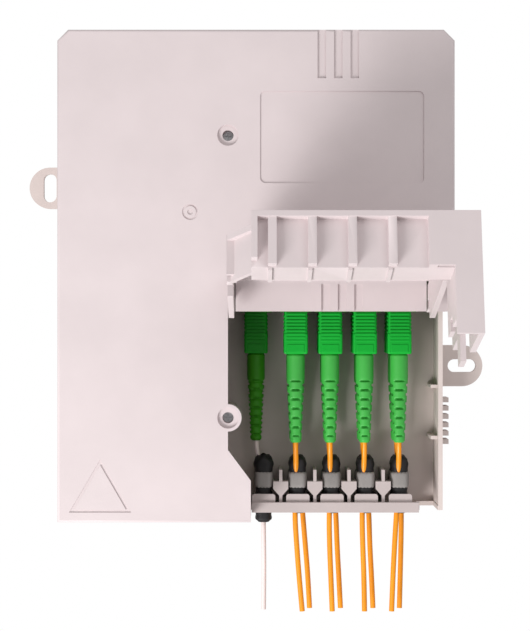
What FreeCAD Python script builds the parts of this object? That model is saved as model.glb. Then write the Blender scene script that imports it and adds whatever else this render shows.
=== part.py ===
# Wall-mounted fiber termination box with its patch door swung open.
# X runs to the right, Z up, and Y back towards the wall. The wall plane is Y = 0.
# A "depth" is the distance out from the wall, so depth 42 is the cover's front face at Y = -42.
import FreeCAD
import Part
import math
import os
import re
import Sketcher

DOC = FreeCAD.newDocument("fiber_termination_box")
SHEET = DOC.addObject("Spreadsheet::Sheet", "Sheet")

SIZES = {
    # cover
    "half_wide": 73, "half_high": 90.5, "box_deep": 42, "skin": 2, "corner_cut": 4, "cover_back": 0.5,
    "edge_round": 1.0,
    # base shell
    "fit_gap": 0.4, "base_deep": 22, "plate": 2, "rib_wall": 1.7, "low_wall": 5,
    "ear_x": 80, "ear_left_z": 35, "ear_right_z": -34, "ear_round": 8, "ear_thick": 3,
    "slot_wide": 5, "slot_half": 3, "rack_deep": 10,
    "wall_hole_x": -60, "wall_hole_z": 75, "wall_hole_r": 2.25,
    # cover screws
    "screw_x": -10.3, "screw_top_z": 51.7, "screw_low_z": -52.1, "boss_r": 5, "dish_r": 3.9, "dish_deep": 1.2,
    "head_r": 1.9, "shank_r": 1.25, "seat_depth": 34.5, "post_r": 4, "post_top": 32.6,
    # door opening in the cover
    "bay_left": -10.3, "bay_top": -13, "bay_step": -1.9, "slant_top": -63.9, "slant_low": -75.2,
    # door
    "hinge_depth": 38, "hinge_z": -6, "door_lift": 8.4, "door_gap": 0.4, "door_angle": 105,
    "side_depth": 16, "comb_flange": 23.5, "flange_thick": 1.5, "flange_long": 14,
    "latch_x": 64.3, "latch_thick": 1.5, "latch_long": 28, "latch_depth": 6.5,
    "recess": 3.5, "rib_thick": 2.8, "rib_first": 3.9, "arm_thick": 2, "arm_right": 63,
    "arm_r": 3.6, "pin_r": 1.5, "pin_play": 0.05,
    # ports
    "port_first": 2, "port_pitch": 13, "drop_shift": 2, "front_row": 23, "back_row": 11,
    "adapter_wide": 11.8, "adapter_low": -13.2, "adapter_long": 26, "adapter_deep": 22.4,
    "plug_wide": 9, "plug_deep": 7.4, "plug_long": 28, "plug_low": -29, "socket_play": 0.15,
    "boot_long": 33.4, "boot_top_r": 3.4, "boot_end_r": 2.2,
    # cable entry
    "entry_first": 2.9, "entry_pitch": 12.95, "sleeve_wide": 6.4, "sleeve_deep": 13, "sleeve_mid": 13.2,
    "sleeve_top": -68, "sleeve_low": -89.6, "drop_sleeve_low": -93, "bar_low": -89, "bar_high": 3.8,
    "tie_top": -74, "tie_high": 5.8, "tie_thick": 0.45,
    # cords
    "cord_r": 1, "drop_cord_r": 0.9,
}


def fill_sheet():
    for row, (alias, value) in enumerate(SIZES.items(), start=1):
        SHEET.set(f"A{row}", alias)
        SHEET.set(f"B{row}", str(value))
        SHEET.setAlias(f"B{row}", alias)
    DOC.recompute()


def linked(text):
    """The expression with each sheet alias in it named in full."""
    def full(match):
        word = match.group(0)
        return f"Sheet.{word}" if word in SIZES else word
    return re.sub(r"[A-Za-z_]+", full, str(text))


def bind(thing, prop, text):
    thing.setExpression(prop, linked(text))


def value(text):
    """The number that an expression over the sheet's aliases stands for, in millimetres."""
    probe = DOC.addObject("App::FeaturePython", "probe")
    probe.addProperty("App::PropertyFloat", "Number")
    probe.setExpression("Number", linked(text))
    probe.recompute()
    number = probe.Number
    DOC.removeObject(probe.Name)
    return number


# ---- sketches and their pads and pockets ----

def origin_plane(body, role):
    return next(plane for plane in body.Origin.OriginFeatures if plane.Role == role)


def pin_point(sketch, edge, corner, across, up):
    """Holds one end or centre of an edge at (across, up) from the sketch's origin."""
    for kind, text in (("DistanceX", across), ("DistanceY", up)):
        index = sketch.addConstraint(Sketcher.Constraint(kind, -1, 1, edge, corner, value(text)))
        bind(sketch, f"Constraints[{index}]", text)


def draw_outline(sketch, corners):
    """A closed outline of straight edges through (across, up) corners."""
    first = sketch.GeometryCount
    points = [FreeCAD.Vector(value(x), value(y), 0) for x, y in corners]
    for start, end in zip(points, points[1:] + points[:1]):
        sketch.addGeometry(Part.LineSegment(start, end), False)
    count = len(corners)
    for number in range(count):
        following = first + (number + 1) % count
        sketch.addConstraint(Sketcher.Constraint("Coincident", first + number, 2, following, 1))
    for number, (x, y) in enumerate(corners):
        pin_point(sketch, first + number, 1, x, y)


def draw_circle(sketch, x, y, radius):
    centre = FreeCAD.Vector(value(x), value(y), 0)
    edge = sketch.addGeometry(Part.Circle(centre, FreeCAD.Vector(0, 0, 1), value(radius)), False)
    pin_point(sketch, edge, 3, x, y)
    index = sketch.addConstraint(Sketcher.Constraint("Radius", edge, value(radius)))
    bind(sketch, f"Constraints[{index}]", radius)


def rect(x, y, wide, high):
    """Corners of a rectangle from its low corner."""
    return [(x, y), (f"{x} + {wide}", y), (f"{x} + {wide}", f"{y} + {high}"), (x, f"{y} + {high}")]


def span(low_x, high_x, low_y, high_y):
    """Corners of a rectangle between two X and two Z values."""
    return [(low_x, low_y), (high_x, low_y), (high_x, high_y), (low_x, high_y)]


def make_sketch(body, name, role, start, outlines, circles):
    sketch = body.newObject("Sketcher::SketchObject", f"{name}_sketch")
    sketch.AttachmentSupport = (origin_plane(body, role), [""])
    sketch.MapMode = "FlatFace"
    bind(sketch, "AttachmentOffset.Base.z", start)
    for corners in outlines:
        draw_outline(sketch, corners)
    for x, y, radius in circles:
        draw_circle(sketch, x, y, radius)
    return sketch


def pad(body, name, start, length, outlines=(), circles=(), role="XZ_Plane"):
    """Adds material from depth start, out from the wall, over the given length."""
    sketch = make_sketch(body, name, role, start, outlines, circles)
    feature = body.newObject("PartDesign::Pad", name)
    feature.Profile = sketch
    bind(feature, "Length", length)
    return feature


def cut(body, name, start, length, outlines=(), circles=(), role="XZ_Plane"):
    """Removes material from depth start, in towards the wall, over the given length."""
    before = solid_volume(body)
    sketch = make_sketch(body, name, role, start, outlines, circles)
    feature = body.newObject("PartDesign::Pocket", name)
    feature.Profile = sketch
    bind(feature, "Length", length)
    if solid_volume(body) >= before:
        raise RuntimeError(f"{body.Label}: pocket {name} removes nothing")
    return feature


def solid_volume(body):
    DOC.recompute()
    return body.Shape.Volume


def new_body(label):
    body = DOC.addObject("PartDesign::Body", label)
    body.Label = label
    body.AllowCompound = True
    return body


def round_edges(body, name, radius, wanted):
    """Fillets the edges of the body's tip for which wanted(edge) is true."""
    DOC.recompute()
    base = body.Tip
    names = [f"Edge{number}" for number, edge in enumerate(base.Shape.Edges, start=1) if wanted(edge)]
    feature = body.newObject("PartDesign::Fillet", name)
    feature.Base = (base, names)
    bind(feature, "Radius", radius)
    DOC.recompute()
    return feature


# ---- Part primitives ----

def block(name, low_x, low_depth, low_z, wide, deep, high):
    """A box given from its low X, low depth and low Z."""
    box = DOC.addObject("Part::Box", name)
    bind(box, "Length", wide)
    bind(box, "Width", deep)
    bind(box, "Height", high)
    bind(box, "Placement.Base.x", low_x)
    bind(box, "Placement.Base.y", f"-({low_depth}) - ({deep})")
    bind(box, "Placement.Base.z", low_z)
    return box


def rod(name, radius, length, x, depth, z, direction=(0, 0, 1)):
    """A cylinder that starts at (x, depth, z) and runs along direction."""
    cylinder = DOC.addObject("Part::Cylinder", name)
    cylinder.Placement.Rotation = FreeCAD.Rotation(FreeCAD.Vector(0, 0, 1), FreeCAD.Vector(*direction))
    bind(cylinder, "Radius", radius)
    bind(cylinder, "Height", length)
    bind(cylinder, "Placement.Base.x", x)
    bind(cylinder, "Placement.Base.y", f"-({depth})")
    bind(cylinder, "Placement.Base.z", z)
    return cylinder


def fused(name, pieces):
    joined = DOC.addObject("Part::MultiFuse", name)
    joined.Shapes = pieces
    return joined


def removed(name, base, tool):
    difference = DOC.addObject("Part::Cut", name)
    difference.Base = base
    difference.Tool = tool
    return difference


OUT = (0, -1, 0)


# ---- outer shells ----

def chamfered(side, top, low, corner):
    """The box's front outline: square at the bottom, with its two top corners cut off."""
    return [(f"-({side})", low), (side, low), (side, f"{top} - {corner}"), (f"{side} - {corner}", top),
            (f"-({side}) + {corner}", top), (f"-({side})", f"{top} - {corner}")]


def grip_grooves(body, name, first_x, low_z, high_z):
    grooves = [span(f"{first_x} + {6.05 * number}", f"{first_x} + {6.05 * number + 3.1}", low_z, high_z)
               for number in range(3)]
    cut(body, name, "box_deep", 0.8, grooves)


def make_cover():
    body = new_body("main_cover")
    pad(body, "cover_block", "cover_back", "box_deep - cover_back",
        [chamfered("half_wide", "half_high", "-half_high", "corner_cut")])
    on_front = lambda edge: all(abs(vertex.Point.y + value("box_deep")) < 0.01 for vertex in edge.Vertexes)
    round_edges(body, "cover_edge", "edge_round", on_front)
    cut(body, "cover_hollow", "box_deep - skin", "box_deep",
        [chamfered("half_wide - skin", "half_high - skin", "-half_high + skin", "corner_cut")])
    cut(body, "door_bay", "box_deep + 3", "box_deep + 3",
        [[("bay_left", "bay_top"), (90, "bay_top"), (90, -100), ("bay_step", -100),
          ("bay_step", "slant_low"), ("bay_left", "slant_top")]])
    bosses = [("screw_x", "screw_top_z", "boss_r"), ("screw_x", "screw_low_z", "boss_r")]
    for number, boss in enumerate(bosses):
        pad(body, f"screw_boss_{number}", "post_top + 0.4", "box_deep - post_top - 0.4", circles=[boss])
    for number, (x, z, _) in enumerate(bosses):
        cut(body, f"screw_dish_{number}", "box_deep", "dish_deep", circles=[(x, z, "dish_r")])
        cut(body, f"head_hole_{number}", "box_deep", "box_deep - seat_depth", circles=[(x, z, "head_r + 0.15")])
        cut(body, f"shank_hole_{number}", "box_deep", "box_deep", circles=[(x, z, "shank_r + 0.1")])
    for side, x in (("left", "bay_left"), ("right", "arm_right - 0.4")):
        cut(body, f"arm_slot_{side}", "box_deep + 1", "skin + 2",
            [span(x, f"{x} + arm_thick + 0.8", "bay_top - 1", -1.6)])
    for side, x in (("left", "bay_left - 2.3"), ("right", "arm_right + arm_thick + 0.5")):
        pad(body, f"hinge_lug_{side}", "hinge_depth - 4", "box_deep - skin - hinge_depth + 4",
            [span(x, f"{x} + 2.2", -10.5, -1.8)])
    cut(body, "hinge_bores", 68.5, 85, circles=[("-hinge_depth", "hinge_z", "pin_r")], role="YZ_Plane")
    cut(body, "label_field", "box_deep", 0.5, [span(1.5, 61.7, 34.1, 67.9)])
    in_label = lambda edge: (len(edge.Vertexes) == 2 and edge.Length < 0.6
                             and all(34 < vertex.Point.z < 68 and 1 < vertex.Point.x < 62
                                     for vertex in edge.Vertexes))
    round_edges(body, "label_corners", 2, in_label)
    cut(body, "round_mark", "box_deep", 0.4, circles=[(-24.2, 23.5, 2.9), (-24.2, 23.5, 2.2)])
    cut(body, "round_mark_centre", "box_deep", 0.4, circles=[(-24.2, 23.5, 1)])
    cut(body, "corner_mark", "box_deep", 0.4,
        [[(-68.6, -86.8), (-45.9, -86.8), (-57.2, -67.4)], [(-66.8, -85.8), (-47.7, -85.8), (-57.2, -69.4)]])
    grip_grooves(body, "top_grips", 22.6, 72.6, 95)
    grip_grooves(body, "strip_grips", 24, "bay_top - 1", -3)
    cut(body, "feeder_notch_cover", 16.5, 16.5, [span(-53, -37, -95, -85)])
    cut(body, "ear_notch", "ear_thick + 0.3", "ear_thick + 0.3",
        [span(-75, -70, "ear_left_z - ear_round - 0.3", "ear_left_z + ear_round + 0.3")])
    return body


def make_ear(body, side, sign, z, along, up):
    """A rounded lug at the wall plane; its screw slot runs slot_half each way along or up."""
    near, far = sorted((69 * sign, sign * SIZES["ear_x"]))
    pad(body, f"ear_web_{side}", 0, "ear_thick", [span(near, far, f"{z} - ear_round", f"{z} + ear_round")])
    pad(body, f"ear_end_{side}", 0, "ear_thick", circles=[(f"{sign} * ear_x", z, "ear_round")])
    middle = f"{sign} * ear_x"
    half_x = f"({along} * slot_half + {up} * slot_wide / 2)"
    half_z = f"({up} * slot_half + {along} * slot_wide / 2)"
    cut(body, f"ear_slot_{side}", "ear_thick", "ear_thick",
        [span(f"{middle} - {half_x}", f"{middle} + {half_x}", f"{z} - {half_z}", f"{z} + {half_z}")])
    for end in (-1, 1):
        cut(body, f"ear_slot_{side}_{'low' if end < 0 else 'high'}", "ear_thick", "ear_thick",
            circles=[(f"{middle} + {end * along} * slot_half", f"{z} + {end * up} * slot_half", "slot_wide / 2")])


def entry_x(number):
    return f"entry_first + {number} * entry_pitch"


def make_base():
    body = new_body("base_shell")
    side = "half_wide - skin - fit_gap"
    top = "half_high - skin - fit_gap"
    low = "-half_high + skin + fit_gap"
    pad(body, "base_block", 0, "base_deep", [chamfered(side, top, low, "corner_cut")])
    cut(body, "base_hollow", "base_deep", "base_deep - plate",
        [chamfered(f"{side} - rib_wall", f"{top} - rib_wall", f"{low} + rib_wall", "corner_cut")])
    slots = [span(f"{entry_x(number)} - sleeve_wide / 2", f"{entry_x(number)} + sleeve_wide / 2", -92, -85)
             for number in range(5)]
    cut(body, "cord_slots", "base_deep + 1", "base_deep + 1 - 6.6", slots)
    cut(body, "comb_seat", "base_deep + 1", 3, [span(-1.7, 61.7, -92, -85)])
    cut(body, "latch_gap", "base_deep + 1", "base_deep + 1 - low_wall", [span(61.8, 68.7, -92, -86.4)])
    cut(body, "feeder_notch", "base_deep + 1", "base_deep - 3", [span(-52, -38, -92, -85)])
    posts = [("screw_x", "screw_top_z", "post_r"), ("screw_x", "screw_low_z", "post_r")]
    for number, (x, z, radius) in enumerate(posts):
        pad(body, f"screw_post_{number}", "plate", "post_top - plate", circles=[(x, z, radius)])
        cut(body, f"pilot_hole_{number}", "post_top", 18, circles=[(x, z, "shank_r")])
    make_ear(body, "left", -1, "ear_left_z", along=0, up=1)
    make_ear(body, "right", 1, "ear_right_z", along=1, up=0)
    teeth = [span(70, 73.9, -47.8 - 3.2 * number, -46 - 3.2 * number) for number in range(6)]
    pad(body, "grip_rack", 2, "rack_deep", teeth)
    pad(body, "grip_rack_web", 2, "rack_deep", [span(70, 71.6, -63.8, -46)])
    hooks = [span(66.4, 69.2, -61.5, -60.2), span(66.4, 69.2, -42, -40.8)]
    pad(body, "wall_hooks", 2, 17, hooks)
    cut(body, "wall_screw_holes", "plate", "plate",
        circles=[("wall_hole_x", f"{sign} wall_hole_z", "wall_hole_r") for sign in ("", "-")])
    return body


def door_outline():
    left = "bay_left + door_gap"
    step = "bay_step + door_gap"
    return [(left, "-door_lift"), ("half_wide", "-door_lift"), ("half_wide", "-half_high - hinge_z"),
            (step, "-half_high - hinge_z"), (step, "slant_low - hinge_z"), (left, "slant_top - hinge_z")]


def door_wall(body, name, depth, deep, corners):
    """A door wall given in box coordinates, moved to the hinge line's own frame."""
    moved = [(x, f"({z}) - hinge_z") for x, z in corners]
    return pad(body, name, f"{depth} - hinge_depth", deep, [moved])


def make_door():
    """The door, drawn shut about its hinge line and then swung open."""
    body = new_body("patch_door")
    left = "bay_left + door_gap"
    step = "bay_step + door_gap"
    low = "-half_high"
    top = "hinge_z - door_lift"
    pad(body, "door_panel", "box_deep - skin - hinge_depth", "skin", [door_outline()])
    side = "box_deep - side_depth"
    door_wall(body, "left_wall", side, "side_depth", span(left, f"{left} + 2", "slant_top + 1.8", top))
    door_wall(body, "slant_wall", side, "side_depth",
              [(f"{left} + 1.4", "slant_top + 1.8"), (f"{step} + 1.4", "slant_low"),
               (f"{step} + 3.4", "slant_low"), (f"{left} + 3.4", "slant_top + 1.8")])
    door_wall(body, "slant_corner", side, "side_depth",
              span(left, f"{left} + 3.4", "slant_top + 1.8", "slant_top + 3.4"))
    door_wall(body, "step_wall", side, "side_depth", span(step, f"{step} + 2", low, "slant_low - 1.2"))
    door_wall(body, "step_corner", side, "side_depth",
              span(step, f"{step} + 3.4", "slant_low - 2.4", "slant_low - 1"))
    door_wall(body, "right_wall", 14, "box_deep - 14", span("half_wide - skin", "half_wide", low, top))
    door_wall(body, "right_wall_deep", 0.8, "box_deep - 0.8", span("half_wide - skin", "half_wide", low, -64.6))
    door_wall(body, "right_wall_foot", 4, "box_deep - 4", span("half_wide - skin", "half_wide", -38.5, -30))
    door_wall(body, "end_wall", "comb_flange", "box_deep - comb_flange",
              span(step, "latch_x", f"{low} + recess", f"{low} + recess + 1.5"))
    fifth = "rib_first + 4 * port_pitch"
    door_wall(body, "end_wall_right", 0.8, "box_deep - 0.8",
              span("latch_x - 0.2", "half_wide", low, f"{low} + 1.2"))
    door_wall(body, "end_wall_upper", "comb_flange", "box_deep - comb_flange",
              span(fifth, "latch_x", low, f"{low} + 1.2"))
    door_wall(body, "end_wall_step", "comb_flange", "box_deep - comb_flange",
              span(fifth, f"{fifth} + rib_thick", low, f"{low} + recess + 1.5"))
    door_wall(body, "comb_flange_plate", "comb_flange", "flange_thick",
              span(step, "latch_x + latch_thick", f"{low} + recess", f"{low} + recess + flange_long"))
    door_wall(body, "latch_wall", "latch_depth", "box_deep - latch_depth",
              span("latch_x", "latch_x + latch_thick", low, f"{low} + latch_long"))
    door_wall(body, "inner_wall", side, "side_depth",
              span("arm_right", "arm_right + arm_thick", f"{low} + latch_long - 1", top))
    door_wall(body, "cross_wall", 28, "box_deep - 28", span(left, "bay_step + 2.4", -64, -62.5))
    for number in range(4):
        rib = f"rib_first + {number} * port_pitch"
        door_wall(body, f"end_rib_{number}", "comb_flange + 0.5", "box_deep - comb_flange - 0.5",
                  span(rib, f"{rib} + rib_thick", f"{low} + 0.4", f"{low} + recess + 0.5"))
        door_wall(body, f"flange_rib_{number}", "comb_flange - 0.9", 1,
                  span(rib, f"{rib} + rib_thick / 2", f"{low} + recess", f"{low} + recess + flange_long"))
    for name, x in (("left", left), ("right", "arm_right")):
        door_wall(body, f"arm_{name}", "hinge_depth - arm_r", "arm_r + 1.5",
                  span(x, f"{x} + arm_thick", f"{top} - 3", "hinge_z"))
        knuckle = [(0, 0, "arm_r"), (-4.2, 1.1, 3), (-2.1, 0.55, 3.2)]
        for number, (back, up, radius) in enumerate(knuckle):
            pad(body, f"knuckle_{name}_{number}", x, "arm_thick", circles=[(f"-({back})", up, radius)],
                role="YZ_Plane")
    cut(body, "pin_bores", 80, 160, circles=[(0, 0, "pin_r + pin_play")], role="YZ_Plane")
    cut(body, "boss_notch", "box_deep - hinge_depth + 1", 30,
        circles=[("screw_x", "screw_low_z - hinge_z", "boss_r + 0.6")])
    cut(body, "boss_path", "box_deep - skin - hinge_depth - 0.2", 30,
        [[(x, f"{z} - hinge_z") for x, z in span(-10.5, -4, -57.9, -44)]])
    cut(body, "latch_notch", "latch_depth - hinge_depth + 4", 6,
        [[(x, f"{z} - hinge_z") for x, z in span(63.9, 66.2, -76, -70)]])
    body.Placement.Rotation = FreeCAD.Rotation(FreeCAD.Vector(1, 0, 0), 1)
    bind(body, "Placement.Rotation.Angle", "-door_angle")
    bind(body, "Placement.Base.y", "-hinge_depth")
    bind(body, "Placement.Base.z", "hinge_z")
    return body


def make_pins():
    rod("hinge_pin_left", "pin_r", "arm_thick + 2.6", "bay_left - 2.2", "hinge_depth", "hinge_z", (1, 0, 0))
    rod("hinge_pin_right", "pin_r", "arm_thick + 2.6", "arm_right", "hinge_depth", "hinge_z", (1, 0, 0))
    return ["hinge_pin_left", "hinge_pin_right"]


def make_screws():
    names = []
    for name, z in (("cover_screw_upper", "screw_top_z"), ("cover_screw_lower", "screw_low_z")):
        head = rod(f"{name}_head", "head_r", 2, "screw_x", "seat_depth", z, OUT)
        shank = rod(f"{name}_shank", "shank_r", 16, "screw_x", "seat_depth - 16", z, OUT)
        whole = fused(f"{name}_blank", [head, shank])
        bar = block(f"{name}_bar", "screw_x - 1.3", "seat_depth + 1", f"{z} - 0.25", 2.6, 2, 0.5)
        cross = block(f"{name}_cross", "screw_x - 0.25", "seat_depth + 1", f"{z} - 1.3", 0.5, 2, 2.6)
        removed(name, whole, fused(f"{name}_drive", [bar, cross]))
        names.append(name)
    return names


# ---- optical parts ----

def port_x(number):
    return "port_first - drop_shift" if number == 0 else f"port_first + {number} * port_pitch"


def make_adapters():
    """Five stacked adapters, each with a front and a back socket, held in one bracket."""
    names = []
    cuts = []
    for number in range(5):
        name = f"adapter_{number + 1}"
        x = port_x(number)
        low_depth = "back_row - 5.2"
        shell = block(f"{name}_shell", f"{x} - adapter_wide / 2", low_depth, "adapter_low",
                      "adapter_wide", "adapter_deep", "adapter_long")
        sockets = [block(f"{name}_socket_{row}", f"{x} - plug_wide / 2 - socket_play",
                         f"{row} - plug_deep / 2 - socket_play", "adapter_low - 1", "plug_wide + 2 * socket_play",
                         "plug_deep + 2 * socket_play", "adapter_long + 2") for row in ("front_row", "back_row")]
        removed(name, shell, fused(f"{name}_sockets", sockets))
        cuts.append(block(f"{name}_seat", f"{x} - adapter_wide / 2", low_depth, 0, "adapter_wide",
                          "adapter_deep", 10))
        names.append(name)
    plate = block("bracket_plate", -9, "plate", 3, 72, 28.5, 2)
    foot = block("bracket_foot", -9, "plate", 3, 72, 2.5, 12)
    removed("adapter_bracket", fused("bracket_blank", [plate, foot]), fused("bracket_seats", cuts))
    return names + ["adapter_bracket"]


def make_plug(name, x, row):
    """A plug's grip: a square body with a stepped back end and finger ribs."""
    body = new_body(name)
    high = "plug_long"
    pad(body, f"{name}_grip", f"{row} - plug_deep / 2", "plug_deep",
        [span(f"{x} - plug_wide / 2", f"{x} + plug_wide / 2", "plug_low", f"plug_low + {high}")])
    on_corner = lambda edge: (len(edge.Vertexes) == 2 and edge.Length > 20)
    round_edges(body, f"{name}_corners", 0.5, on_corner)
    grooves = [span(f"{x} - 3.4", f"{x} + 3.4", f"plug_low + {4 + 1.7 * number}",
                    f"plug_low + {4.6 + 1.7 * number}") for number in range(6)]
    cut(body, f"{name}_ribs", f"{row} + plug_deep / 2", 0.4, grooves)
    return name


def make_boot(name, x, row):
    """A tapered strain relief with staggered flex slits."""
    cone = DOC.addObject("Part::Cone", f"{name}_cone")
    bind(cone, "Radius1", "boot_end_r")
    bind(cone, "Radius2", "boot_top_r")
    bind(cone, "Height", "boot_long")
    bind(cone, "Placement.Base.x", x)
    bind(cone, "Placement.Base.y", f"-({row})")
    bind(cone, "Placement.Base.z", "plug_low - boot_long")
    slits = []
    for number in range(8):
        for side, shift in (("left", "-3.6"), ("right", "0.9")):
            drop = 12 + 2.6 * number + (1.3 if side == "right" else 0)
            slits.append(block(f"{name}_slit_{side}_{number}", f"{x} + {shift}", f"{row} + 0.9",
                               f"plug_low - {drop}", 2.7, 4, 0.7))
    removed(name, cone, fused(f"{name}_slits", slits))
    return name


def make_plugs():
    names = []
    for number in range(5):
        rows = ["back_row"] if number == 0 else ["front_row", "back_row"]
        for row in rows:
            tag = f"{row[:-4]}_{number + 1}"
            names.append(make_plug(f"plug_{tag}", port_x(number), row))
            names.append(make_boot(f"boot_{tag}", port_x(number), row))
    return names


# ---- cable entry ----

def make_comb():
    """The entry comb: a front bar, a saddle in front of each sleeve and arrow-shaped posts between them."""
    body = new_body("entry_comb")
    pad(body, "comb_bar", "base_deep - 1.9", 2.1, [span("bay_step + 0.3", 61.6, "bar_low", "bar_low + bar_high")])
    saddles = [span(f"{entry_x(number)} - 4.4", f"{entry_x(number)} + 4.4", "bar_low + bar_high - 0.4", -82.1)
               for number in range(5)]
    pad(body, "comb_saddles", "base_deep - 1.9", 1, saddles)
    for number in range(4):
        middle = f"{entry_x(number)} + entry_pitch / 2"
        stem = span(f"{middle} - 0.6", f"{middle} + 0.6", "bar_low + bar_high - 0.4", -73)
        pad(body, f"comb_stem_{number}", "plate", "base_deep - plate - 1.5", [stem])
        arrow = [(middle, -83.4), (f"{middle} + 2.85", -80.2), (f"{middle} + 2.85", -77.4),
                 (f"{middle} - 2.85", -77.4), (f"{middle} - 2.85", -80.2)]
        pad(body, f"comb_arrow_{number}", "base_deep - 9", 7.6, [arrow])
    in_saddle = lambda edge: (len(edge.Vertexes) == 2 and 0.9 < edge.Length < 1.1
                              and all(abs(vertex.Point.z + 82.1) < 0.01 for vertex in edge.Vertexes)
                              and abs(edge.Vertexes[0].Point.x - edge.Vertexes[1].Point.x) < 0.01)
    round_edges(body, "saddle_corners", 1, in_saddle)
    return ["entry_comb"]


def make_sleeves():
    """A rubber sleeve round each port's cords, held down by a flat tie."""
    names = []
    for number in range(5):
        low = "drop_sleeve_low" if number == 0 else "sleeve_low"
        x = entry_x(number)
        name = f"sleeve_{number + 1}"
        body = new_body(name)
        pad(body, f"{name}_block", "sleeve_mid - sleeve_deep / 2", "sleeve_deep",
            [span(f"{x} - sleeve_wide / 2 + 0.1", f"{x} + sleeve_wide / 2 - 0.1", low, "sleeve_top")])
        along = lambda edge: len(edge.Vertexes) == 2 and edge.Length > 15
        round_edges(body, f"{name}_corners", 2.4, along)
        tie_body = new_body(f"cord_tie_{number + 1}")
        edge_x = "(sleeve_wide / 2 - 0.1)"
        pad(tie_body, f"tie_band_{number}", "plate", "sleeve_mid + sleeve_deep / 2 + tie_thick - plate",
            [span(f"{x} - {edge_x} - tie_thick", f"{x} + {edge_x} + tie_thick", "tie_top - tie_high", "tie_top")])
        cut(tie_body, f"tie_hollow_{number}", "sleeve_mid + sleeve_deep / 2", "sleeve_mid + sleeve_deep / 2 - plate",
            [span(f"{x} - {edge_x}", f"{x} + {edge_x}", "tie_top - tie_high - 1", "tie_top + 1")])
        names += [name, f"cord_tie_{number + 1}"]
    return names


def make_feeder():
    """A rubber grommet for the incoming cable, with its bore, in the bottom wall."""
    slab = block("grommet_slab", -51.9, 4.1, -92, 13.8, 12, 5.5)
    bore = rod("grommet_bore", 3, 20, -45, 10, -100)
    removed("feeder_grommet", slab, bore)
    return ["feeder_grommet"]


# ---- splice tray ----

def make_tray():
    body = new_body("splice_tray")
    pad(body, "tray_plate", 4, 1.6, [span(-48, 66, 22, 84)])
    pad(body, "tray_rim", 4, 8, [span(-48, 66, 22, 84), span(-46.6, 64.6, 23.4, 82.6)])
    cut(body, "tray_clear_post", 13, 13, circles=[("screw_x", "screw_top_z", "post_r + 0.6")])
    pads = [(-40, 30, 3), (58, 30, 3), (-40, 76, 3), (58, 76, 3)]
    pad(body, "tray_feet", "plate", 2.2, circles=pads)
    reel = new_body("fiber_reel")
    pad(reel, "reel_wall", 5.6, 8, circles=[(35, 53, 22), (35, 53, 20.6)])
    holder = new_body("splice_holder")
    pad(holder, "holder_base", 5.6, 1.5, [span(-42, -18, 44, 62)])
    combs = [span(-42, -18, 44 + 3.4 * number, 45.2 + 3.4 * number) for number in range(6)]
    pad(holder, "holder_combs", 6.6, 4, combs)
    sleeves = [rod(f"splice_sleeve_{number}", 1, 30, -45, 8.2, 46.3 + 3.4 * number, (1, 0, 0))
               for number in range(5)]
    group = DOC.addObject("Part::Compound", "splice_sleeves")
    group.Links = sleeves
    return ["splice_tray", "fiber_reel", "splice_holder", "splice_sleeves"]


# ---- cords ----

# Each cord's route from inside its boot down to its cut end, in box coordinates.
CORD_ROUTES = {
    "cord_back_1": [(0, -11, -60), (0.1, -11.2, -66), (2.3, -13, -75), (2.8, -13, -86), (2.9, -13.2, -98),
                    (3.1, -13.1, -112), (2.9, -13, -127)],
    "cord_front_2": [(15, -23, -60), (15, -22.6, -65), (15.2, -18.6, -72.5), (15.4, -18, -81), (14.7, -18.1, -90),
                     (15.5, -17.8, -102), (16.4, -17.6, -114), (17.6, -17.6, -127)],
    "cord_back_2": [(15, -11, -60), (15, -10.8, -66), (16.2, -9.4, -74), (17.3, -9.3, -82), (18, -9.4, -91),
                    (19, -9.5, -103), (20, -9.7, -115), (20.6, -9.7, -127)],
    "cord_front_3": [(28, -23, -60), (28, -22.6, -65), (28.2, -18.6, -72.5), (28.4, -18, -81), (27.8, -18, -90),
                     (28, -17.8, -102), (28.5, -17.6, -114), (29, -17.6, -127)],
    "cord_back_3": [(28, -11, -60), (28, -10.8, -66), (29, -9.4, -74), (30, -9.3, -82), (30.8, -9.4, -91),
                    (31.2, -9.6, -103), (31.9, -9.7, -115), (32.5, -9.7, -127)],
    "cord_front_4": [(41, -23, -60), (41, -22.6, -65), (41, -18.6, -72.5), (40.8, -18, -81), (40.3, -18, -90),
                     (40.6, -17.8, -102), (41.1, -17.6, -114), (41.3, -17.6, -127)],
    "cord_back_4": [(41, -11, -60), (41, -10.8, -66), (42.1, -9.4, -74), (42.9, -9.3, -82), (43.5, -9.4, -91),
                    (43.8, -9.6, -103), (44.5, -9.7, -115), (45, -9.7, -127)],
    "cord_front_5": [(54, -23, -60), (54, -22.6, -65), (54.2, -18.6, -72.5), (54.1, -18, -81), (53.4, -18, -90),
                     (52.7, -17.8, -102), (52.1, -17.6, -114), (51.6, -17.6, -127)],
    "cord_back_5": [(54, -11, -60), (54, -10.8, -66), (55, -9.4, -74), (55.7, -9.3, -82), (56, -9.4, -91),
                    (55.8, -9.6, -103), (55.5, -9.7, -115), (55.2, -9.7, -127)],
}
ARC_SHARE = 0.45


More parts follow.
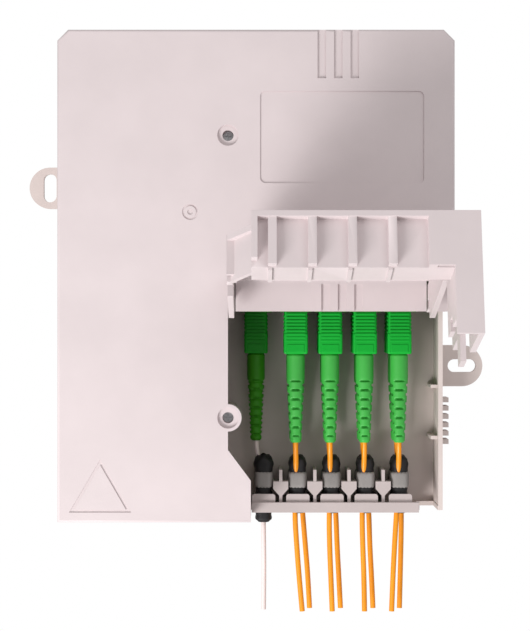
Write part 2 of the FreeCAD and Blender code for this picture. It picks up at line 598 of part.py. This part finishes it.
def rounded_path(points):
    """Straight runs through the points, each bend rounded by as large an arc as its two runs allow."""
    edges = []
    start = points[0]
    radii = []
    for before, corner, after in zip(points, points[1:], points[2:]):
        back = before - corner
        ahead = after - corner
        cut_back = ARC_SHARE * min(back.Length, ahead.Length)
        half_turn = (FreeCAD.Vector(back).negative().getAngle(ahead)) / 2
        back.normalize()
        ahead.normalize()
        enter = corner + back * cut_back
        leave = corner + ahead * cut_back
        inward = (back + ahead).normalize()
        radius = cut_back / math.tan(half_turn)
        centre = corner + inward * (radius / math.cos(half_turn))
        middle = centre + (corner - centre).normalize() * radius
        edges.append(Part.LineSegment(start, enter).toShape())
        edges.append(Part.Arc(enter, middle, leave).toShape())
        radii.append(radius)
        start = leave
    edges.append(Part.LineSegment(start, points[-1]).toShape())
    return Part.Wire(edges), min(radii)


def make_cord(name, route, radius):
    points = [FreeCAD.Vector(*point) for point in route]
    path, tightest = rounded_path(points)
    along = points[1] - points[0]
    section = Part.Wire([Part.Circle(points[0], along, radius).toShape()])
    tube = path.makePipeShell([section], True, False)
    ratio = tube.Volume / (math.pi * radius ** 2 * path.Length)
    print(f"{name}: length {path.Length:.1f}, smallest radius {tightest:.1f}, volume ratio {ratio:.4f}")
    cord = DOC.addObject("Part::Feature", name)
    cord.Shape = tube
    cord.Placement = FreeCAD.Placement()
    return name


def make_cords():
    names = []
    for name, route in CORD_ROUTES.items():
        alias = "drop_cord_r" if name == "cord_back_1" else "cord_r"
        names.append(make_cord(name, route, float(SHEET.get(alias))))
    return names


# ---- check and write ----

def write_parts(names):
    DOC.recompute()
    for thing in DOC.Objects:
        if {"Invalid", "Error"} & set(thing.State):
            raise RuntimeError(f"{thing.Label} failed: {thing.State}")
    for name in names:
        shape = DOC.getObject(name).Shape
        if shape.isNull() or not shape.isValid() or not shape.Solids:
            raise RuntimeError(f"{name} has no valid solid")
    os.makedirs("parts", exist_ok=True)
    for name in names:
        DOC.getObject(name).Shape.exportStep(f"parts/{name}.step")
        print(name, len(DOC.getObject(name).Shape.Solids), round(DOC.getObject(name).Shape.Volume))


def main():
    fill_sheet()
    names = [make_cover().Name, make_base().Name, make_door().Name]
    for group in (make_pins, make_screws, make_adapters, make_plugs, make_comb, make_sleeves, make_feeder,
                  make_tray, make_cords):
        names += group()
    write_parts(names)


main()
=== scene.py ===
# The looks of a wall-mounted fiber termination box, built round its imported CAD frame.
import math

import bmesh
import bpy
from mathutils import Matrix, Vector


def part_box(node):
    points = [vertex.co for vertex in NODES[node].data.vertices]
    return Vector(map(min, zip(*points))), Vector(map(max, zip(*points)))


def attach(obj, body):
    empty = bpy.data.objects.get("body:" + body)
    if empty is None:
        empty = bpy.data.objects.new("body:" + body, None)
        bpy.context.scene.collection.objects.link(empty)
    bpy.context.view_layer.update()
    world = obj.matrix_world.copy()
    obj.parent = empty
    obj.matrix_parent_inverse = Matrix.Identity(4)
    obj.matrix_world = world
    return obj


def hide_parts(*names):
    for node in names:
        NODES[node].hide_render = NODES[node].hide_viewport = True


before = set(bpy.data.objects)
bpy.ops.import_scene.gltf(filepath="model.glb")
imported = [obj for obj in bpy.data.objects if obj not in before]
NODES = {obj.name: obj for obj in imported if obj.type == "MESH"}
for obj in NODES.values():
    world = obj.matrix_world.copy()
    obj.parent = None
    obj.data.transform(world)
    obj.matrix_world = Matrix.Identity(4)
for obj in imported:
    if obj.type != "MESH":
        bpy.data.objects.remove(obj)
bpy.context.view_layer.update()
MM = 0.001

# Camera and cord facts come first.
CAMERA_PLACE = (0.0, -0.700, -0.0145)
LENS = 121.8
SIDE_SHIFT = 0.017

CORD_ROUTES = {
    "cord_back_1": [(0, -11, -60), (0.1, -11.2, -66), (2.3, -13, -75), (2.8, -13, -86), (2.9, -13.2, -98),
                    (3.1, -13.1, -112), (2.9, -13, -127)],
    "cord_front_2": [(15, -23, -60), (15, -22.6, -65), (15.2, -18.6, -72.5), (15.4, -18, -81),
                     (14.7, -18.1, -90), (15.5, -17.8, -102), (16.4, -17.6, -114), (17.6, -17.6, -127)],
    "cord_back_2": [(15, -11, -60), (15, -10.8, -66), (16.2, -9.4, -74), (17.3, -9.3, -82), (18, -9.4, -91),
                    (19, -9.5, -103), (20, -9.7, -115), (20.6, -9.7, -127)],
    "cord_front_3": [(28, -23, -60), (28, -22.6, -65), (28.2, -18.6, -72.5), (28.4, -18, -81),
                     (27.8, -18, -90), (28, -17.8, -102), (28.5, -17.6, -114), (29, -17.6, -127)],
    "cord_back_3": [(28, -11, -60), (28, -10.8, -66), (29, -9.4, -74), (30, -9.3, -82), (30.8, -9.4, -91),
                    (31.2, -9.6, -103), (31.9, -9.7, -115), (32.5, -9.7, -127)],
    "cord_front_4": [(41, -23, -60), (41, -22.6, -65), (41, -18.6, -72.5), (40.8, -18, -81), (40.3, -18, -90),
                     (40.6, -17.8, -102), (41.1, -17.6, -114), (41.3, -17.6, -127)],
    "cord_back_4": [(41, -11, -60), (41, -10.8, -66), (42.1, -9.4, -74), (42.9, -9.3, -82), (43.5, -9.4, -91),
                    (43.8, -9.6, -103), (44.5, -9.7, -115), (45, -9.7, -127)],
    "cord_front_5": [(54, -23, -60), (54, -22.6, -65), (54.2, -18.6, -72.5), (54.1, -18, -81),
                     (53.4, -18, -90), (52.7, -17.8, -102), (52.1, -17.6, -114), (51.6, -17.6, -127)],
    "cord_back_5": [(54, -11, -60), (54, -10.8, -66), (55, -9.4, -74), (55.7, -9.3, -82), (56, -9.4, -91),
                    (55.8, -9.6, -103), (55.5, -9.7, -115), (55.2, -9.7, -127)],
}
DROP_CORD = "cord_back_1"
CORD_DIAMETER = 0.0020
DROP_DIAMETER = 0.0018

MOULD_RADIUS = 0.25 * MM
WELD_GAP = 0.00001

SLIT_PITCH = 1.75 * MM
SLIT_HALF_ANGLE = 0.62
SLIT_DEEP = 1.5 * MM

TIE_SQUARENESS = 4.5
TIE_POINTS = 56

FLOOR_LEVEL = -0.9
FLOOR_REACH = 2
FLOOR_BACK = 0.55
AMBIENT = 0.55
OBJECT_MIDDLE = (0.01, -0.03, -0.01)
KEY_PLACE = (-0.45, -0.60, -0.60)
KEY_POWER = 8.5
FILL_PLACE = (0.45, -0.9, 0.5)
FILL_POWER = 2


def make_camera():
    data = bpy.data.cameras.new("camera")
    data.sensor_fit = "HORIZONTAL"
    data.sensor_width = 36
    data.lens = LENS
    data.shift_x = SIDE_SHIFT
    camera = bpy.data.objects.new("camera", data)
    camera.location = CAMERA_PLACE
    camera.rotation_euler = (math.radians(90), 0, 0)
    bpy.context.scene.collection.objects.link(camera)
    bpy.context.scene.camera = camera


# ---- materials ----

def shader(name, colour, rough):
    material = bpy.data.materials.new(name)
    material.use_nodes = True
    tree = material.node_tree
    surface = tree.nodes["Principled BSDF"]
    surface.inputs["Base Color"].default_value = (*colour, 1)
    surface.inputs["Roughness"].default_value = rough
    return material, tree, surface


def noise(tree, scale, detail=3.0):
    place = tree.nodes.new("ShaderNodeTexCoord")
    texture = tree.nodes.new("ShaderNodeTexNoise")
    texture.inputs["Scale"].default_value = scale
    texture.inputs["Detail"].default_value = detail
    tree.links.new(place.outputs["Object"], texture.inputs["Vector"])
    return texture.outputs["Fac"]


def ranged(tree, value, low, high):
    """value, from 0.3 to 0.7 of a noise, spread between low and high."""
    node = tree.nodes.new("ShaderNodeMapRange")
    node.inputs["From Min"].default_value = 0.3
    node.inputs["From Max"].default_value = 0.7
    node.inputs["To Min"].default_value = low
    node.inputs["To Max"].default_value = high
    tree.links.new(value, node.inputs["Value"])
    return node.outputs["Result"]


def moulded(name, colour, rough=0.45, grain=2600, bump=0.06, mottle=0.06, specular=0.4):
    """Injection-moulded plastic or rubber: a fine spark-eroded grain, faint cloudy tone and uneven gloss."""
    material, tree, surface = shader(name, colour, rough)
    surface.inputs["Specular IOR Level"].default_value = specular
    mix = tree.nodes.new("ShaderNodeMix")
    mix.data_type = "RGBA"
    mix.inputs["A"].default_value = (*[channel * (1 - mottle) for channel in colour], 1)
    mix.inputs["B"].default_value = (*[min(1, channel * (1 + mottle)) for channel in colour], 1)
    tree.links.new(ranged(tree, noise(tree, 55), 0, 1), mix.inputs["Factor"])
    tree.links.new(mix.outputs["Result"], surface.inputs["Base Color"])
    tree.links.new(ranged(tree, noise(tree, 320), rough - 0.07, rough + 0.07), surface.inputs["Roughness"])
    relief = tree.nodes.new("ShaderNodeBump")
    relief.inputs["Strength"].default_value = bump
    relief.inputs["Distance"].default_value = 0.0002
    tree.links.new(noise(tree, grain, 2), relief.inputs["Height"])
    tree.links.new(relief.outputs["Normal"], surface.inputs["Normal"])
    return material


def steel():
    material, tree, surface = shader("zinc_steel", (0.42, 0.42, 0.43), 0.35)
    surface.inputs["Metallic"].default_value = 1
    tree.links.new(ranged(tree, noise(tree, 900), 0.25, 0.5), surface.inputs["Roughness"])
    return material


SHELL = moulded("shell_plastic", (0.66, 0.575, 0.58), rough=0.5, bump=0.10, mottle=0.025)
# Comb and adapter bracket: the shell's pink plastic darkened as painted shade.
SHADED_INNER_PLASTIC = moulded("inner_plastic_painted_shade", (0.50, 0.43, 0.42), rough=0.55, bump=0.10, mottle=0.04)
BASE = moulded("base_plastic", (0.66, 0.57, 0.54), rough=0.55, bump=0.10, mottle=0.05)
TRAY = moulded("tray_plastic", (0.70, 0.70, 0.67), rough=0.5)
GREEN = moulded("plug_green", (0.001, 0.40, 0.03), rough=0.45, mottle=0.05, bump=0.04, specular=0.25)
BOOT_GREEN = moulded("boot_green", (0.05, 0.42, 0.06), rough=0.42, mottle=0.07, bump=0.05)
# Back-row plug 1 and its boot: the plug and boot greens darkened as painted shade.
SHADED_DROP_PLUG_GREEN = moulded("drop_plug_green_painted_shade", (0.004, 0.28, 0.008), rough=0.45, mottle=0.07, specular=0.25)
SHADED_DROP_BOOT_GREEN = moulded("drop_boot_green_painted_shade", (0.04, 0.26, 0.008), rough=0.5, mottle=0.07, specular=0.25)
# Adapters: the plug green darkened to olive as painted shade.
SHADED_ADAPTER_GREEN = moulded("adapter_green_painted_shade", (0.05, 0.22, 0.02), rough=0.45)
RUBBER = moulded("black_rubber", (0.008, 0.007, 0.008), rough=0.6, grain=1500, bump=0.3, mottle=0.3)
FOAM = moulded("tie_felt", (0.27, 0.25, 0.24), rough=0.9, grain=1900, bump=0.7, mottle=0.16, specular=0.2)
ORANGE = moulded("cord_orange", (0.88, 0.30, 0.006), rough=0.36, mottle=0.08, grain=1400, bump=0.12)
WHITE = moulded("drop_cord_white", (0.80, 0.68, 0.66), rough=0.4, mottle=0.05)
CLEAR = moulded("splice_sleeve", (0.75, 0.78, 0.80), rough=0.2)
STEEL = steel()


def paint(names, material):
    for name in names:
        mesh = NODES[name].data
        mesh.materials.clear()
        mesh.materials.append(material)


def numbered(prefix):
    return sorted(name for name in NODES if name.startswith(prefix))


def paint_frame():
    paint(["main_cover", "patch_door"], SHELL)
    paint(["base_shell"], BASE)
    paint(["entry_comb", "adapter_bracket"], SHADED_INNER_PLASTIC)
    paint(numbered("hinge_pin") + numbered("cover_screw"), STEEL)
    paint([f"adapter_{number}" for number in range(1, 6)], SHADED_ADAPTER_GREEN)
    paint(["feeder_grommet"], RUBBER)
    paint(["splice_tray", "fiber_reel", "splice_holder"], TRAY)
    paint(["splice_sleeves"], CLEAR)


def weld_points(piece):
    """Joins points that lie on one another."""
    weld = piece.modifiers.new("weld", "WELD")
    weld.merge_threshold = WELD_GAP


def soften_edges(name, width):
    """Small mould radii along a CAD shell's sharp edges."""
    piece = NODES[name]
    weld_points(piece)
    bevel = piece.modifiers.new("mould_radius", "BEVEL")
    bevel.width = width
    bevel.segments = 2
    bevel.limit_method = "ANGLE"
    bevel.angle_limit = math.radians(40)
    bevel.use_clamp_overlap = True
    bevel.harden_normals = True


# ---- mesh helpers ----

def new_piece(name, mesh, material, body="box", replaced=()):
    mesh.materials.append(material)
    piece = bpy.data.objects.new(name, mesh)
    bpy.context.scene.collection.objects.link(piece)
    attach(piece, body)
    if replaced:
        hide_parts(*replaced)
    return piece


def loft(name, rings, closed_ends=True):
    """A mesh through rings of the same number of points, shaded smooth."""
    mesh = bpy.data.meshes.new(name)
    size = len(rings[0])
    points = [point for ring in rings for point in ring]
    faces = []
    for level in range(len(rings) - 1):
        for side in range(size):
            following = (side + 1) % size
            low = level * size
            faces.append((low + side, low + following, low + size + following, low + size + side))
    if closed_ends:
        faces.append(tuple(reversed(range(size))))
        faces.append(tuple(range((len(rings) - 1) * size, len(rings) * size)))
    mesh.from_pydata(points, [], faces)
    tidy = bmesh.new()
    tidy.from_mesh(mesh)
    bmesh.ops.recalc_face_normals(tidy, faces=tidy.faces)
    tidy.to_mesh(mesh)
    tidy.free()
    mesh.shade_smooth()
    return mesh


def rounded_ring(x, y, z, half_wide, half_deep, power, count):
    """A ring round (x, y) at height z: an ellipse at power 2, a rounded rectangle at a higher power."""
    ring = []
    for step in range(count):
        angle = 2 * math.pi * step / count
        across, out = math.cos(angle), math.sin(angle)
        reach = (abs(across) ** power + abs(out) ** power) ** (-1 / power)
        ring.append((x + half_wide * across * reach, y + half_deep * out * reach, z))
    return ring


def bump_up(value, middle, width):
    """1 at middle, falling smoothly to 0 at width either side."""
    share = abs(value - middle) / width
    return 0.0 if share >= 1 else 0.5 + 0.5 * math.cos(math.pi * share)


def centre_and_half(node):
    low, high = (Vector(corner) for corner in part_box(node))
    return (low + high) / 2, (high - low) / 2


# ---- plugs and boots ----

def box_into(mesh, centre, half, bevel):
    """Adds a rounded box to a bmesh."""
    made = bmesh.ops.create_cube(mesh, size=2)["verts"]
    for vertex in made:
        vertex.co = Vector(centre[axis] + half[axis] * vertex.co[axis] for axis in range(3))
    edges = list({edge for vertex in made for edge in vertex.link_edges})
    bmesh.ops.bevel(mesh, geom=edges, offset=bevel, segments=2, affect="EDGES", profile=0.5)


def make_plug(node, material):
    """A square plug grip with a ribbed finger panel and a stepped collar at its cord end."""
    middle, half = centre_and_half(node)
    x, y = middle.x, middle.y
    low = middle.z - half.z
    mesh = bmesh.new()
    box_into(mesh, (x, y, low + 17 * MM), (half.x - 0.25 * MM, half.y - 0.25 * MM, 11 * MM), 0.5 * MM)
    box_into(mesh, (x, y, low + 4 * MM), (half.x, half.y, 4 * MM), 0.6 * MM)
    for face in (-1, 1):
        front = y + face * (half.y - 0.2 * MM)
        box_into(mesh, (x, front, low + 2.2 * MM), (half.x - 1.3 * MM, 0.4 * MM, 1.5 * MM), 0.2 * MM)
        for rib in range(9):
            place = low + (5 + 1.25 * rib) * MM
            box_into(mesh, (x, front, place), (half.x - 0.9 * MM, 0.35 * MM, 0.36 * MM), 0.15 * MM)
    for side in (-1, 1):
        for rib in range(7):
            place = low + (5.2 + 1.5 * rib) * MM
            box_into(mesh, (x + side * (half.x - 0.25 * MM), y, place),
                     (0.3 * MM, half.y - 1.2 * MM, 0.4 * MM), 0.15 * MM)
    data = bpy.data.meshes.new(f"{node}_grip")
    mesh.to_mesh(data)
    mesh.free()
    new_piece(f"{node}_grip", data, material, replaced=[node])


def slit_depth(angle, drop, pitch, first, last, offset):
    """How deep a boot's flex slits cut at an angle and a distance below the plug."""
    if not first < drop < last:
        return 0.0
    row = round((drop - first) / pitch)
    near_row = bump_up(drop - first, row * pitch, 0.55 * MM)
    turn = math.pi / 2 * (row % 2) + offset
    nearest = min(abs((angle - turn - side * math.pi + math.pi) % (2 * math.pi) - math.pi) for side in (0, 1))
    near_angle = max(0.0, min(1.0, (SLIT_HALF_ANGLE - nearest) / 0.12))
    return SLIT_DEEP * min(1.0, 1.8 * near_row) * near_angle


def make_boot(node, material, slim):
    """A tapered strain relief: a smooth collar, then rows of staggered slits down to the cord."""
    middle, half = centre_and_half(node)
    top = middle.z + half.z
    length = 2 * half.z
    end_radius = 2.15 * MM
    collar = 9 * MM
    rings = []
    levels = 170
    around = 48
    for level in range(levels + 1):
        drop = length * level / levels
        share = max(0.0, (drop - collar) / (length - collar))
        radius = half.x + (end_radius - half.x) * share ** 0.9
        if slim:
            radius -= 0.45 * MM * bump_up((drop - collar) % (3.4 * MM), 1.7 * MM, 0.8 * MM) * (drop > collar)
        radius -= 0.5 * MM * bump_up(drop, 0, 0.7 * MM) + 0.5 * MM * bump_up(drop, length, 0.8 * MM)
        ring = []
        for step in range(around):
            angle = 2 * math.pi * step / around
            cut = slit_depth(angle, drop, SLIT_PITCH, collar + 1 * MM, length - 2.2 * MM, math.pi / 2)
            reach = radius - cut * (0.55 if slim else 1.0) * (0.6 + 0.4 * radius / half.x)
            ring.append((middle.x + reach * math.cos(angle), middle.y + reach * math.sin(angle), top - drop))
        rings.append(ring)
    new_piece(f"{node}_relief", loft(f"{node}_relief", rings), material, replaced=[node])


def make_plugs():
    for node in numbered("plug_"):
        drop = node == "plug_back_1"
        make_plug(node, SHADED_DROP_PLUG_GREEN if drop else GREEN)
    for node in numbered("boot_"):
        drop = node == "boot_back_1"
        make_boot(node, SHADED_DROP_BOOT_GREEN if drop else BOOT_GREEN, drop)


# ---- cable entry ----

def make_sleeve(node, crowned):
    """A soft sleeve round the cords: flared above, pinched by its tie, rounded at both ends."""
    middle, half = centre_and_half(node)
    tie_middle, tie_half = centre_and_half(node.replace("sleeve", "cord_tie"))
    low = middle.z - half.z
    levels = 60
    rings = []
    for level in range(levels + 1):
        z = low + 2 * half.z * level / levels
        up = z - (middle.z + half.z)
        pinch = 0.5 * MM * bump_up(z, tie_middle.z, tie_half.z * 1.3)
        ends = 0.9 * MM * bump_up(z, low, 1.1 * MM) + 1.1 * MM * bump_up(up, 0, 1.4 * MM)
        flare = (0.7 if crowned else 0.3) * MM * bump_up(up, -3.5 * MM, 4 * MM)
        wave = 0.12 * MM * math.sin(z / MM * 2.1)
        half_wide = half.x - pinch - ends + flare + wave
        half_deep = half.y - pinch - ends
        ring = rounded_ring(middle.x, middle.y, z, half_wide, half_deep, 3.6, 40)
        if crowned:
            teeth = bump_up(up, 0, 3 * MM)
            ring = [(x, y, z + 0.5 * MM * teeth * math.cos(8 * math.atan2(y - middle.y, x - middle.x)))
                    for x, y, z in ring]
        rings.append(ring)
    new_piece(f"{node}_rubber", loft(f"{node}_rubber", rings), RUBBER, replaced=[node])


def make_tie(node, seed):
    """A felt-faced band, slightly uneven, over the sleeve."""
    middle, half = centre_and_half(node)
    levels = 14
    outer, inner = [], []
    for level in range(levels + 1):
        share = level / levels
        z = middle.z + half.z * (2 * share - 1)
        crown = math.sqrt(max(0.0, 1 - (2 * share - 1) ** 4))
        grow = 0.45 * MM * crown
        inset = 0.35 * MM - grow
        ring = rounded_ring(middle.x, middle.y, z, half.x - inset, half.y - inset, TIE_SQUARENESS, TIE_POINTS)
        uneven = [0.10 * MM * math.sin(17 * across + 5 * share + seed) for across in range(TIE_POINTS)]
        outer.append([(x, y - abs(shift), z + shift * (2 * share - 1) * 1.6)
                      for (x, y, z), shift in zip(ring, uneven)])
        inner.append(rounded_ring(middle.x, middle.y, z, half.x - 0.7 * MM, half.y - 0.7 * MM,
                                  TIE_SQUARENESS, TIE_POINTS))
    rings = outer + list(reversed(inner)) + [outer[0]]
    band = loft(f"{node}_band", rings, closed_ends=False)
    weld_points(new_piece(f"{node}_band", band, FOAM, replaced=[node]))


def make_entry():
    for number in range(1, 6):
        make_sleeve(f"sleeve_{number}", crowned=number == 1)
        make_tie(f"cord_tie_{number}", seed=number)


# ---- cords ----

def make_cord(node, route):
    curve = bpy.data.curves.new(f"{node}_jacket", "CURVE")
    curve.dimensions = "3D"
    spline = curve.splines.new("NURBS")
    spline.points.add(len(route) - 1)
    for point, place in zip(spline.points, route):
        point.co = (*[number * MM for number in place], 1)
    spline.order_u = 3
    spline.use_endpoint_u = True
    spline.resolution_u = 12
    diameter = DROP_DIAMETER if node == DROP_CORD else CORD_DIAMETER
    curve.bevel_depth = diameter / 2
    curve.bevel_resolution = 5
    curve.use_fill_caps = True
    drop = node == DROP_CORD
    piece = new_piece(f"{node}_jacket", curve, WHITE if drop else ORANGE,
                      replaced=[node])


def make_cords():
    for node, route in CORD_ROUTES.items():
        make_cord(node, route)


# ---- stage ----

def area_light(name, place, target, size, power):
    data = bpy.data.lights.new(name, "AREA")
    data.size = size
    data.energy = power
    light = bpy.data.objects.new(name, data)
    light.location = place
    light.rotation_euler = (Vector(target) - Vector(place)).to_track_quat("-Z", "Y").to_euler()
    bpy.context.scene.collection.objects.link(light)


def make_floor():
    mesh = bpy.data.meshes.new("floor")
    corners = [(-FLOOR_REACH, -FLOOR_REACH, FLOOR_LEVEL), (FLOOR_REACH, -FLOOR_REACH, FLOOR_LEVEL),
               (FLOOR_REACH, FLOOR_BACK, FLOOR_LEVEL), (-FLOOR_REACH, FLOOR_BACK, FLOOR_LEVEL)]
    mesh.from_pydata(corners, [], [(0, 1, 2, 3)])
    floor = bpy.data.objects.new("floor", mesh)
    mesh.materials.append(moulded("pale_floor", (0.85, 0.85, 0.85), rough=0.8, mottle=0.01))
    bpy.context.scene.collection.objects.link(floor)


def make_world():
    """A white surround that lights the box more dimly than it looks."""
    world = bpy.data.worlds.new("studio")
    world.use_nodes = True
    tree = world.node_tree
    background = tree.nodes["Background"]
    background.inputs["Color"].default_value = (1, 1, 1, 1)
    seen = tree.nodes.new("ShaderNodeLightPath")
    strength = tree.nodes.new("ShaderNodeMapRange")
    strength.inputs["To Min"].default_value = AMBIENT
    strength.inputs["To Max"].default_value = 1.0
    tree.links.new(seen.outputs["Is Camera Ray"], strength.inputs["Value"])
    tree.links.new(strength.outputs["Result"], background.inputs["Strength"])
    bpy.context.scene.world = world


def make_stage():
    make_floor()
    make_world()
    area_light("key", KEY_PLACE, OBJECT_MIDDLE, 0.40, KEY_POWER)
    area_light("fill", FILL_PLACE, OBJECT_MIDDLE, 0.6, FILL_POWER)
    bpy.context.scene.view_settings.view_transform = "Standard"


make_camera()
make_cords()
paint_frame()
for shell in ("main_cover", "patch_door", "base_shell", "entry_comb"):
    soften_edges(shell, MOULD_RADIUS)
make_plugs()
make_entry()
make_stage()
